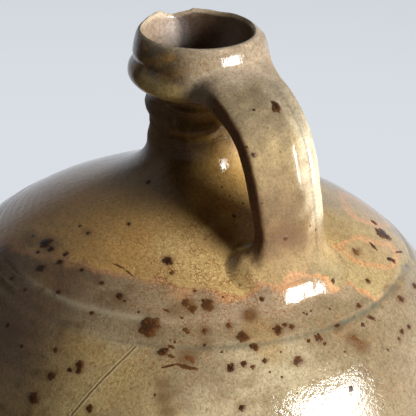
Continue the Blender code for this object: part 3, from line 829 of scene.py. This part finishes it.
# the pieces
def turnedPieces():
    # each node's rows of the wall, closed with flat faces at its joints, with the colours and marks as layers
    grid, normals = jug["grid"], jug["normals"]
    columns = turned["columns"]
    names = dict(lower_body="jugBody", shoulder="jugShoulder", neck="jugNeck", collar="jugCollar")
    made = []
    for node, name in names.items():
        spans = [s[1:] for s in jug["spans"] if s[0] == node]
        if node == "collar":
            spans = [(spans[0][0], spans[1][1])]
        rows = np.concatenate([np.arange(*s) for s in spans])
        verts, own = grid[rows].reshape(-1, 3), normals[rows].reshape(-1, 3)
        inside = np.repeat((rows >= jug["spans"][4][1] + 3).astype(float), columns)
        upper, lower, flash = paint(verts, own)
        # 1 on the grey line of the joint ring, -1 on the painted highlight along the ridge of the ring above it
        along, phi = jug["along"], jug["phi"]
        strength = 0.2 + 0.35 * smoothStep(-66, -42, phi) + 0.45 * smoothStep(-16, 6, phi)
        ridgeHighlight = bell(along, jug["upperAt"], 1.9) * smoothStep(38, 52, -phi) * (1 - smoothStep(84, 100, -phi))
        ring = (bell(along, jug["seamAt"], 0.75) * strength - ridgeHighlight)[rows].reshape(-1)
        # wear along the lip, heavier on the side the window lights, which is partly painted light; bare clay
        # inside and under the foot. Inside the mouth the clay is painted dark as shade, with painted light on
        # its lit left wall
        turn = np.degrees(np.arctan2(verts[:, 1], verts[:, 0])) % 360
        paintedLight = smoothStep(158, 172, turn) * (1 - smoothStep(262, 300, turn))
        z = verts[:, 2]
        lip = smoothStep(-1.9, -0.25, z + 0.35 * waves(verts, 12, 51)) * (1 - inside) * (0.35 + 0.4 * paintedLight)
        bare = np.clip(lip + inside + (1 - smoothStep(-384.2, -382.0, z + 0.5 * waves(verts, 18, 52))), 0, 1)
        clay, mouth = (np.broadcast_to(np.array(glaze[k]), verts.shape) for k in ("bare", "mouthPaintedShade"))
        clay = over(clay, glaze["lip"], smoothStep(-20, -10, z))
        mouth = over(mouth, glaze["mouthPaintedLight"], paintedLight * smoothStep(-26, -8, z))
        worn = smoothStep(-2.4, -0.6, z + 0.4 * waves(verts, 9, 53)) * (0.1 + 0.6 * paintedLight)
        clay = over(clay, over(mouth, glaze["lip"], worn), inside)
        # the left of the neck is less glossy
        satin = 0.9 * smoothStep(80, 50, np.abs(turn - 225)) * bell(z, -46, 18) * (1 - inside)
        layers = dict(
            tintUpper=over(upper, clay, bare), tintLower=over(lower, clay, bare), flash=flash, bare=bare,
            ring=ring * (1 - inside), satin=satin, craze=craze(verts), **markLayers(verts, own),
        )
        whole = node == "lower_body"
        if whole:
            centres = np.array([[0, 0, grid[0, 0, 2]], [0, 0, grid[-1, 0, 2]]])
            verts, own, layers = withCentres(verts, own, layers, centres, [[0, 0, -1], [0, 0, 1]])
        first = len(rows) * columns
        poles = (first, first + 1) if whole else (None, None)
        faces = ringFaces(len(rows), columns, closed=not whole, poles=poles)
        sealed = np.zeros(len(faces), bool)
        for jump in np.flatnonzero(np.diff(rows) != 1).tolist() + ([] if whole else [len(rows) - 1]):
            sealed[jump * columns: (jump + 1) * columns] = True
        corners = cornerNormals(verts, faces, own, sealed)
        made.append(makePiece(name, [node], verts, faces, corners, layers))
    return made


def withCentres(verts, normals, layers, centres, ways):
    # the points, normals and layers of a piece, with the middle points of its two end discs
    layers = {k: np.concatenate([v, v[[0, -1]]]) for k, v in layers.items()}
    return np.vstack([verts, centres]), np.vstack([normals, ways]), layers


def craze(points):
    # how much the glaze is crazed: most round the handle's foot and on the shoulder in front of it
    near = bell(np.linalg.norm(points - (60, -40, -90), axis=-1), 0, 42)
    return np.clip(0.22 + 0.85 * near + 0.15 * waves(points, 40, 61), 0, 1.2)


def handlePieces():
    # the handle's rows in three stretches, each closed with a disc at both ends
    grid, normals, columns = strap["grid"], strap["normals"], handle["columns"]
    rootEnd, footStart = strap["cuts"]
    made = []
    for piece, node, a, b in (
        ("handleRoot", "handle_root", 0, rootEnd + 1),
        ("handleStrap", "handle_strap", rootEnd, footStart + 1),
        ("handleFoot", "handle_foot", footStart, len(grid)),
    ):
        verts, own = grid[a:b].reshape(-1, 3), normals[a:b].reshape(-1, 3)
        upper, lower, flash = paint(verts, own)
        x, y, z = verts.T
        flash = flash - 6.5 * smoothStep(-26, -14, y)  # in front the line runs along the top of the bank
        smear = np.repeat(strap["smear"][a:b], columns)
        # cream-straw on the strap, paler on its far side, browner on the near side, duller over the root; its
        # near side face, turned from the window, is tinted dark brown by its normal as painted shade
        # low on the foot the pale far-side tint fades out and the amber comes in, as painted shade
        far = smoothStep(-2, 10, y + 1.5 * waves(verts, 14, 71)) * (1 - 0.65 * smoothStep(-66, -80, z))
        tint = np.broadcast_to(np.array(glaze["strapTint"]), verts.shape)
        for name, mask in (
            ("strapFar", far * 0.9),
            ("strapTop", smoothStep(-38, -22, z) * 0.7),
            ("amber", smoothStep(-62, -74, z) * (1 - far) * 0.5),
            ("brown", smoothStep(-38, -58, z + 2 * waves(verts, 20, 73)) * (1 - far) * 0.75),
            ("strapShadedSide", smoothStep(0.5, 0.85, -own[:, 1]) * 0.9),
        ):
            tint = over(tint, glaze[name], mask)
        # painted shade: low on the foot the colour is darkened by up to a third, least at its near edge and its
        # far side
        paintedShade = smoothStep(-66, -76, z) * smoothStep(-24, -14, y) * (1 - 0.5 * smoothStep(8, 24, y))
        kept = 0.4 * (1 - smoothStep(2, 14, y))  # on its far side the foot's tint ends as the shoulder's
        share = np.maximum(smear, kept) * smoothStep(30, 44, x) * (1 - 0.5 * smoothStep(-80, -92, z))
        upper = over(upper * (1 - 0.32 * paintedShade)[:, None], tint, share)
        zero = np.zeros(len(verts))
        layers = dict(
            tintUpper=upper * (1 + 0.06 * waves(verts, 10, 72))[:, None], tintLower=lower,
            flash=np.where(z > -84, -60.0, flash), bare=zero, ring=zero, lens=zero + 30, warm=zero + 1,
            satin=strap["satin"][a:b].reshape(-1), craze=craze(verts) * (1 - 0.75 * smear),
            stain=markLayers(verts, own, True)["stain"],
        )
        ends = [grid[k].mean(0) for k in (a, a + 1, b - 1, b - 2)]
        ways = unit(np.array([ends[0] - ends[1], ends[2] - ends[3]]))
        verts, own, layers = withCentres(verts, own, layers, [ends[0], ends[2]], ways)
        count = b - a
        faces = ringFaces(count, columns, poles=(count * columns, count * columns + 1))
        sealed = np.arange(len(faces)) >= (count - 1) * columns
        corners = cornerNormals(verts, faces, own, sealed)
        made.append(makePiece(piece, [node], verts, faces, corners, layers))
    return made


bodyPieces = turnedPieces()
strapPieces = handlePieces()
print("pieces:", len(bodyPieces) + len(strapPieces))


spot = dict(
    large=2.0,  # from this radius on a spot is large
    columns=12,  # of a small spot; a large one has twice as many
    rings=(1.0, 0.8, 0.42),  # shares of the radius
    largeRings=(1.0, 0.9, 0.75, 0.55, 0.3),
    rise=0.10,  # height of the cap, as a share of its radius
    lift=0.03,  # and its least height over the glaze
    tuck=0.14,  # how deep the rim is let into the glaze
)


def spotPlaces():
    # for each mark: its point, its normal, the two half axes along the surface in millimetres, darkness, and
    # whether it is on the wall (0) or on the handle (1)
    shown = ((jug, slice(jug["spans"][3][2])), (strap, slice(strap["first"], strap["last"])))
    points, normals = (
        np.vstack([piece[k][rows].reshape(-1, 3) for piece, rows in shown]) for k in ("grid", "normals")
    )
    back = viewAxes()[2]
    kinds = (np.arange(len(points)) >= shown[0][1].stop * turned["columns"]).astype(int)
    facing = normals @ back > 0.05
    points, normals, kinds = points[facing], normals[facing], kinds[facing]
    pixels = inPicture(points)

    def under(x, y):
        # the surface point seen at a pixel: of the points within 1.6 pixels, the nearest to the camera
        apart = np.hypot(pixels[:, 0] - x, pixels[:, 1] - y)
        close = np.flatnonzero(apart < 1.6)
        if not len(close):
            close = np.argsort(apart)[:1]
        depth = points[close] @ back
        close = close[depth > depth.max() - 6]
        best = close[np.argmin(apart[close])]
        point, normal = points[best], normals[best]
        # slide along the surface to the exact pixel
        side = unit(np.cross((0, 0, 1.0), normal))
        up = np.cross(normal, side)
        moved = inPicture(np.array([point, point + side, point + up]))
        slope = np.stack([moved[1] - moved[0], moved[2] - moved[0]], -1)
        onto = np.linalg.inv(slope)
        shift = onto @ (np.array([x, y]) - moved[0])
        return point + side * shift[0] + up * shift[1], normal, side, up, kinds[best], onto

    places = []
    for x, y, radius, dark in marks["spots"]:
        point, normal, side, up, kind, _ = under(x, y)
        radius = 1.15 * radius / view["scale"] / math.sqrt(max(normal @ back, 0.3))
        places.append((point, normal, side * radius, up * radius, dark, kind))
    for x0, y0, x1, y1, half, dark in marks["strokes"]:
        # the half axes in the picture, laid onto the surface
        point, normal, side, up, kind, onto = under((x0 + x1) / 2, (y0 + y1) / 2)
        way = np.array([x1 - x0, y1 - y0]) / 2
        length = np.linalg.norm(way)
        aside = np.array([-way[1], way[0]]) / length * half
        axes = [onto @ (way * (1 + half / length * 0.7)), onto @ (aside * 1.25)]
        places.append((point, normal, *(side * a[0] + up * a[1] for a in axes), dark, kind))
    # seeded ones on the sides that the picture doesn't show
    random = np.random.default_rng(17)
    while len(places) < len(marks["spots"]) + len(marks["strokes"]) + marks["hidden"]:
        turn, row = random.uniform(0, 360), random.uniform(0, 1)
        if random.uniform() < 0.6:
            row = int(jug["spans"][0][2] * (0.16 + 0.84 * row))
        else:
            row = random.integers(jug["spans"][1][1], jug["spans"][1][2] - 12)
        column = int(turn / 360 * turned["columns"]) % turned["columns"]
        point, normal = jug["grid"][row, column], jug["normals"][row, column]
        pixel = inPicture(point[None])[0]
        if normal @ back > -0.05 and 0 < pixel[0] < 425 and pixel[1] < 425:
            continue
        side = unit(np.cross((0, 0, 1.0), normal))
        radius = 0.5 + 1.9 * random.uniform() ** 3
        up = np.cross(normal, side)
        places.append((point, normal, side * radius, up * radius, random.uniform(0.6, 1.0), 0))
    return places


def spotPiece(name, places, curve):
    # low caps with an uneven outline: at a share s of the radius the height is rise * (1 - s^2)^0.8 plus the
    # lift, and less the tuck at the rim; the cap bends with the surface under it by distance^2 / (2 * curve)
    random = np.random.default_rng(len(places))
    verts, faces, rims, darks, at = [], [], [], [], 0
    for point, normal, side, up, dark, _ in places:
        large = math.sqrt(np.linalg.norm(side) * np.linalg.norm(up)) > spot["large"]
        columns = spot["columns"] * (1 + large)
        rings = spot["largeRings" if large else "rings"]
        turn = np.arange(columns) * 2 * math.pi / columns
        bumps = (
            random.uniform(0.05, 0.13) * np.sin(k * turn + random.uniform(0, 6.3)) for k in (2, 3, 4, 5, 7)
        )
        wobble = 1 + sum(bumps)
        s = np.array(rings)[:, None]
        flat = (np.cos(turn) * wobble * s)[..., None] * side + (np.sin(turn) * wobble * s)[..., None] * up
        sag = (flat**2).sum(-1) / (2 * curve)
        high = spot["rise"] * min(np.linalg.norm(side), np.linalg.norm(up))
        lumps = 1 + 0.25 * random.normal(size=flat.shape[:2]) * large
        height = high * (1 - s**2) ** 0.8 * lumps - spot["tuck"] * (s > 0.99) + spot["lift"] * (s < 0.99)
        cap = point + flat + (height - sag)[..., None] * normal
        tip = point + normal * (high + spot["lift"])
        count = len(rings)
        verts += [cap.reshape(-1, 3), tip[None]]
        faces += [[at + k for k in f] for f in ringFaces(count, columns, poles=(None, count * columns))]
        rims += [np.repeat(np.array(rings), columns), [0.0]]
        darks.append(np.full(count * columns + 1, dark))
        at += count * columns + 1
    layers = dict(rim=np.concatenate(rims), dark=np.concatenate(darks))
    return makePiece(name, [], np.vstack(verts), faces, None, layers)


places = spotPlaces()
onWall, onHandle = ([p for p in places if p[5] == kind] for kind in (0, 1))
seam = turned["dome"][0][0]  # radius of the joint ring, which parts the body's spots from the shoulder's
spotPieces = [
    spotPiece("ironSpotsBody", [p for p in onWall if math.hypot(*p[0][:2]) >= seam], 110),
    spotPiece("ironSpotsShoulder", [p for p in onWall if math.hypot(*p[0][:2]) < seam], 95),
    spotPiece("ironSpotsHandle", onHandle, 60),
]
print("iron spots:", len(places))


# materials
# wraps a socket of a node tree, so that shader maths reads as plain Python
class Link:
    def __init__(self, shader, socket):
        self.shader, self.socket = shader, socket

    def maths(self, operation, *others):
        return self.shader.node("Math", dict(operation=operation), dict(enumerate((self, *others))))

    def __add__(self, other):
        return self.maths("ADD", other)

    def __sub__(self, other):
        return self.maths("SUBTRACT", other)

    def __mul__(self, other):
        return self.maths("MULTIPLY", other)

    def __rsub__(self, other):
        return (self * -1.0).maths("ADD", other)

    def __neg__(self):
        return self * -1.0

    def __abs__(self):
        return self.maths("ABSOLUTE")

    __radd__ = __add__


class Shader:
    def __init__(self, name, material=None):
        self.owner = material or bpy.data.materials.new(name)
        self.owner.use_nodes = True
        self.tree = self.owner.node_tree
        self.tree.nodes.clear()

    def node(self, kind, settings=None, inputs=None, take=0):
        # one node: its settings first, then the values or links of its sockets
        made = self.tree.nodes.new("ShaderNode" + kind)
        for key, value in (settings or {}).items():
            if key == "stops":
                ramp = made.color_ramp
                while len(ramp.elements) < len(value):
                    ramp.elements.new(0.5)
                for element, (place, colour) in zip(ramp.elements, value):
                    element.position, element.color = place, (*colour, 1)
            else:
                setattr(made, key, value)
        for key, value in (inputs or {}).items():
            if isinstance(value, Link):
                self.tree.links.new(value.socket, made.inputs[key])
            elif value is not None:
                made.inputs[key].default_value = value
        return Link(self, made.outputs[take]) if made.outputs else None

    def mix(self, factor, a, b, kind="MIX"):
        wide = [v if isinstance(v, Link) else (*v, 1) for v in (a, b)]
        settings = dict(data_type="RGBA", blend_type=kind)
        return self.node("Mix", settings, {0: factor, 6: wide[0], 7: wide[1]}, take=2)

    def layer(self, name, take=2):
        # an attribute of the mesh: 0 is its colour, 2 its value
        return self.node("Attribute", dict(attribute_name=name), take=take)

    def ramp(self, value, low, high):
        settings = dict(interpolation_type="SMOOTHSTEP", clamp=True)
        return self.node("MapRange", settings, {0: value, 1: low, 2: high})

    def noise(self, place, scale, detail=2.0, rough=0.5, take=0):
        inputs = {"Vector": place, "Scale": scale, "Detail": detail, "Roughness": rough}
        return self.node("TexNoise", None, inputs, take)

    def cells(self, place, scale, feature="F1", take=0):
        return self.node("TexVoronoi", dict(feature=feature), {"Vector": place, "Scale": scale}, take)

    def principled(self, inputs):
        # the finished material
        self.node("OutputMaterial", None, {0: self.node("BsdfPrincipled", None, inputs)})
        return self.owner

    def vector(self, operation, a, b=None):
        # vector maths: a dot product and a length are taken as a value
        take = int(operation in ("DOT_PRODUCT", "LENGTH"))
        return self.node("VectorMath", dict(operation=operation), {0: a, 1: b}, take)


glazeLook = dict(
    orange=(0.70, 0.37, 0.17),
    crazeTint=(0.25, 0.095, 0.022),
    speck=(0.035, 0.018, 0.010),
    lensTint=(0.50, 0.345, 0.165),
    # brown of the stains, also laid on as painted shade
    stainAndShadeTint=(0.13, 0.058, 0.020),
    ringTint=(0.13, 0.13, 0.09),
    # painted highlight along the ridge of the ring above the joint ring
    ridgeHighlightTint=(0.56, 0.47, 0.31),
    grooveTint=(0.12, 0.07, 0.03),
    burrTint=(0.66, 0.53, 0.34),
    # mottling: place on the noise and colour, for the middle, small and tiny noise
    mottling=(
        ((0.25, (0.78, 0.74, 0.68)), (0.55, (1, 1, 1)), (0.8, (1.14, 1.14, 1.12))),
        ((0.3, (0.78, 0.71, 0.60)), (0.5, (1, 1, 1)), (0.7, (1.13, 1.12, 1.10))),
        ((0.3, (0.82, 0.78, 0.72)), (0.55, (1, 1, 1)), (0.75, (1.12, 1.12, 1.12))),
    ),
    # fine iron specks: scale of their cells, size, and from which share of the cells on one has a speck
    specks=((210.0, 0.09, 0.80), (420.0, 0.13, 0.84)),
    scratch=((0.0605, -0.1139, 0.2432), (0.0671, -0.0824, 0.2722)),  # ends of the long scratch, in metres
    dimple=0.29,
)


def glazeMaterial(name):
    # tints from the mesh, split by the flash line; over them mottling, crazing, specks and bare clay
    shader = Shader(name)
    place = shader.node("TexCoord", take=3)
    big = shader.noise(place, 60, 3, 0.55)
    middle = shader.noise(place, 170, 3, 0.6)
    small = shader.noise(place, 650, 2, 0.6)
    tiny = shader.noise(place, 1500, 1, 0.5)
    bare = shader.layer("bare")
    glazed = 1 - bare
    flash = shader.layer("flash") + (middle - 0.5) * 5.0 + (small - 0.5) * 2.2
    below = shader.ramp(flash, -1.4, 1.4)
    colour = shader.mix(below, shader.layer("tintUpper", 0), shader.layer("tintLower", 0))
    # the orange flash follows the line, sharp above and soft below
    band = shader.ramp(flash, -1.6, 0.6) * (1 - shader.ramp(flash, 0.6, 5.2)) * shader.ramp(big, 0.25, 0.5)
    colour = shader.mix(band * glazed * shader.layer("warm") * 0.9, colour, glazeLook["orange"])
    # pale lens with an orange outline
    lens = shader.layer("lens") + (small - 0.5) * 1.6
    colour = shader.mix((1 - shader.ramp(lens, -0.5, 0.3)) * 0.55, colour, glazeLook["lensTint"])
    outline = (1 - shader.ramp(abs(lens), 0.4, 1.8)) * shader.ramp(middle, 0.3, 0.5)
    colour = shader.mix(outline * 0.8, colour, glazeLook["orange"])
    for noise, stops in zip((middle, small, tiny), glazeLook["mottling"]):
        colour = shader.mix(1.0, colour, shader.node("ValToRGB", dict(stops=stops), {0: noise}), "MULTIPLY")
    # brown stains round the iron spots and elsewhere, and painted shade: the handle's shadow on the shoulder
    # and the shade low on its foot
    stain = shader.layer("stain") * (0.55 + middle * 0.9) * (0.7 + small * 0.6)
    colour = shader.mix(stain.maths("MINIMUM", 0.9), colour, glazeLook["stainAndShadeTint"])
    # crazing: edges of small cells, bent by noise
    bend = shader.vector("MULTIPLY", shader.noise(place, 420, 2, 0.5, take=1), (0.0020,) * 3)
    bent = shader.vector("ADD", place, bend)
    cells, coarse = (shader.cells(bent, scale, "DISTANCE_TO_EDGE") for scale in (640.0, 330.0))
    lines = (1 - shader.ramp(cells, 0.02, 0.12)) * 0.6 + (1 - shader.ramp(coarse, 0.01, 0.07)) * 0.7
    craze = lines * shader.layer("craze") * shader.ramp(middle, 0.36, 0.60) * glazed
    colour = shader.mix(craze.maths("MINIMUM", 0.85), colour, glazeLook["crazeTint"])
    # grey line in the joint ring, and the painted highlight along the ridge of the ring above it
    ring = shader.layer("ring")
    grey = ring.maths("MAXIMUM", 0.0) * 0.95 * shader.ramp(middle, 0.25, 0.5)
    ridgeHighlight = (-ring).maths("MAXIMUM", 0.0) * 0.6 * shader.ramp(middle, 0.3, 0.55)
    colour = shader.mix(ridgeHighlight, shader.mix(grey, colour, glazeLook["ringTint"]), glazeLook["ridgeHighlightTint"])
    for scale, size, share in glazeLook["specks"]:
        dots = shader.cells(place, scale) + (tiny - 0.5) * 0.12
        pick = shader.node("SeparateColor", None, {0: shader.cells(place, scale, take=1)})
        speck = (1 - shader.ramp(dots, size * 0.5, size * 1.3)) * shader.ramp(pick, share, share + 0.05)
        colour = shader.mix(speck * glazed * 0.8, colour, glazeLook["speck"])
    # the long scratch: distance from the line between its ends; a groove with a pale burr beside it
    start, end = (np.array(p) for p in glazeLook["scratch"])
    way = end - start
    facing = unit((start + end) / 2 * (1, 1, 0)) + (0, 0, 0.9)
    aside = 1000 * unit(np.cross(way, np.cross(np.cross(way, facing), way)))
    offset = shader.vector("SUBTRACT", place, tuple(start))
    t = shader.vector("DOT_PRODUCT", offset, tuple(way / (way @ way)))
    apart = abs(shader.vector("DOT_PRODUCT", offset, tuple(aside)) + (small - 0.5) * 0.5)
    far = shader.vector("LENGTH", offset)
    within = shader.ramp(t, -0.01, 0.02) * (1 - shader.ramp(t, 0.97, 1.0))
    within = within * (1 - shader.ramp(far, 0.060, 0.062))
    groove = (1 - shader.ramp(apart, 0.15, 0.55)) * within
    burr = shader.ramp(apart, 0.45, 0.75) * (1 - shader.ramp(apart, 0.8, 1.4)) * within
    colour = shader.mix(groove * (0.15 + middle * 0.9), colour, glazeLook["grooveTint"])
    colour = shader.mix(burr * (middle * 0.8), colour, glazeLook["burrTint"])
    # bare clay is dull and grainy; satin where the salt took less
    rough = 0.045 + shader.ramp(bare, 0.3, 0.7) * 0.42 + shader.layer("satin") * 0.78 + (small - 0.5) * 0.04
    height = shader.noise(place, 300, 2, 0.5) * 0.9 + small * 0.9 + tiny * 0.12 * (1 + bare * 4)
    height = height - groove * 0.8 + burr * 0.4
    bump = shader.node("Bump", None, {"Strength": glazeLook["dimple"], "Distance": 0.0006, "Height": height})
    return shader.principled({"Base Color": colour, "Roughness": rough, "Normal": bump, "IOR": 1.6})


ironLook = dict(dark=(0.030, 0.013, 0.007), rust=(0.17, 0.065, 0.020), pale=(0.21, 0.088, 0.026))


def ironMaterial():
    # iron spots: near black in the middle, rusty towards the rim, glassy
    shader = Shader("ironSpot")
    place = shader.node("TexCoord", take=3)
    fine = shader.noise(place, 1000, 3, 0.65)
    rim, dark = shader.layer("rim"), shader.layer("dark")
    alpha = 1 - shader.ramp(rim + (fine - 0.5) * 0.9, 0.72, 0.98)
    rusty = shader.ramp(rim + (fine - 0.5) * 1.8, 0.3, 1.0)
    pale = ((1 - dark) * (0.7 + fine)).maths("MINIMUM", 1.0)
    colour = shader.mix(pale, shader.mix(rusty, ironLook["dark"], ironLook["rust"]), ironLook["pale"])
    bump = shader.node("Bump", None, {"Strength": 0.5, "Distance": 0.0004, "Height": fine})
    return shader.principled(
        {"Base Color": colour, "Roughness": 0.30, "Normal": bump, "IOR": 1.33, "Alpha": alpha}
    )


slotNames = ["body_glaze", "shoulder_glaze", "neck_glaze", "collar_glaze", "handle_glaze"]
finishes = {name: glazeMaterial(name.replace("_glaze", "Glaze")) for name in slotNames}
for piece, slot in zip(bodyPieces + strapPieces, slotNames[:4] + [slotNames[4]] * 3):
    piece.data.materials.append(finishes[slot])
iron = ironMaterial()
for piece in spotPieces:
    piece.data.materials.append(iron)
print("materials made")


# the studio: a window to the right, a pale floor that curls up behind
studio = dict(
    pale=(0.70, 0.735, 0.785),
    far=(0.62, 0.655, 0.705),
    # panes of the window: azimuth counter-clockwise from +X, elevation, power
    panes=((15.3, 18.0, 65.0), (30.7, 18.0, 44.0), (15.3, 1.5, 35.0), (30.7, 1.5, 28.0)),
    windowDistance=3.0,
    paneSize=(0.81, 0.86),
    floor=((0.16, 0.16, 0.165), (0.58, 0.60, 0.63)),  # to the light, and to the eye
    bounce=(1.0, 0.91, 0.78),  # colour of the light from all round
    ambient=0.012,
    behind=0.27,  # light from behind the jug
    behindFrom=175,  # azimuths of that light, and of the glow that the glaze mirrors
    mirroredFrom=120,
)


def addLamp(name, azimuth, elevation, distance, size, power):
    # an area lamp on a sphere round the jug's shoulder, facing it
    a, e = math.radians(azimuth), math.radians(elevation)
    away = Vector((math.cos(a) * math.cos(e), math.sin(a) * math.cos(e), math.sin(e)))
    lamp = bpy.data.objects.new(name, bpy.data.lights.new(name, "AREA"))
    lamp.data.shape, (lamp.data.size, lamp.data.size_y), lamp.data.energy = "RECTANGLE", size, power
    lamp.location = Vector((0, 0, 0.28)) + away * distance
    lamp.rotation_euler = away.to_track_quat("Z", "Y").to_euler()
    scene.collection.objects.link(lamp)
    return lamp


def compass(azimuth):
    # level direction at an azimuth in degrees
    return math.cos(math.radians(azimuth)), math.sin(math.radians(azimuth)), 0.0


def paleShare(shader, way, low):
    # where the surroundings glow pale: all of them to the eye, and in reflections those low down at one azimuth
    seen, glossy, through = (shader.node("LightPath", take=k) for k in (0, 3, 6))
    side = shader.vector("DOT_PRODUCT", way, compass(studio["mirroredFrom"]))
    high = shader.node("SeparateXYZ", None, {0: way}, take=2)
    mirrored = (glossy + through) * shader.ramp(side, 0.12, 0.55) * (1 - shader.ramp(high, low, 0.6))
    return (seen + mirrored).maths("MINIMUM", 1.0)


def addStudio():
    for azimuth, elevation, power in studio["panes"]:
        addLamp("pane", azimuth, elevation, studio["windowDistance"], studio["paneSize"], power)
    # floor: a disc that curls up into a wall behind the jug, radius and height by row
    n, m = 96, 40
    radius = np.concatenate([[0.02], np.linspace(0.3, 3.2, m - 1)])
    turn = np.arange(n) * 2 * math.pi / n
    behind = np.cos(turn - math.radians(141))  # the side away from the camera
    curl = np.clip((radius - 2.1) / 1.1, 0, 1)
    rise = 1.9 * curl[:, None] ** 2 * smoothStep(-0.1, 0.5, behind)[None]
    x, y = radius[:, None] * np.cos(turn), radius[:, None] * np.sin(turn)
    verts = np.stack([x, y, rise], -1).reshape(-1, 3)
    verts = np.vstack([verts, [[0, 0, 0]]])
    mesh = bpy.data.meshes.new("studioFloor")
    mesh.from_pydata(verts, [], ringFaces(m, n, poles=(m * n, None)))
    mesh.flip_normals()
    mesh.polygons.foreach_set("use_smooth", np.ones(len(mesh.polygons), bool))
    floor = bpy.data.objects.new("studioFloor", mesh)
    scene.collection.objects.link(floor)

    shader = Shader("studioFloor")
    place = shader.node("TexCoord", take=3)
    distance = shader.vector("LENGTH", place)
    # near the jug it is only lit by the window, and further out it glows pale
    glow = paleShare(shader, shader.vector("NORMALIZE", place), 0.06) * shader.ramp(distance, 0.35, 0.62)
    seen = shader.node("LightPath", take=0)
    matt = shader.node("BsdfDiffuse", None, {"Color": shader.mix(seen, *studio["floor"])})
    colour = shader.mix(shader.ramp(distance, 0.75, 1.5), studio["pale"], studio["far"])
    pale = shader.node("Emission", None, {"Color": colour, "Strength": 1.0})
    shader.node("OutputMaterial", None, {0: shader.node("MixShader", None, {0: glow, 1: matt, 2: pale})})
    mesh.materials.append(shader.owner)

    world = bpy.data.worlds.new("studio")
    scene.world = world
    shader = Shader("studio", world)
    toward = shader.node("TexCoord", take=0)
    behind = shader.ramp(shader.vector("DOT_PRODUCT", toward, compass(studio["behindFrom"])), -0.1, 0.5)
    strength = studio["ambient"] + behind * studio["behind"]
    dim = shader.node("Background", None, {"Color": (*studio["bounce"], 1), "Strength": strength})
    pale = shader.node("Background", None, {"Color": (*studio["far"], 1), "Strength": 1.0})
    glow = paleShare(shader, toward, 0.1)
    shader.node("OutputWorld", None, {0: shader.node("MixShader", None, {0: glow, 1: dim, 2: pale})})


addStudio()
print("studio lit")
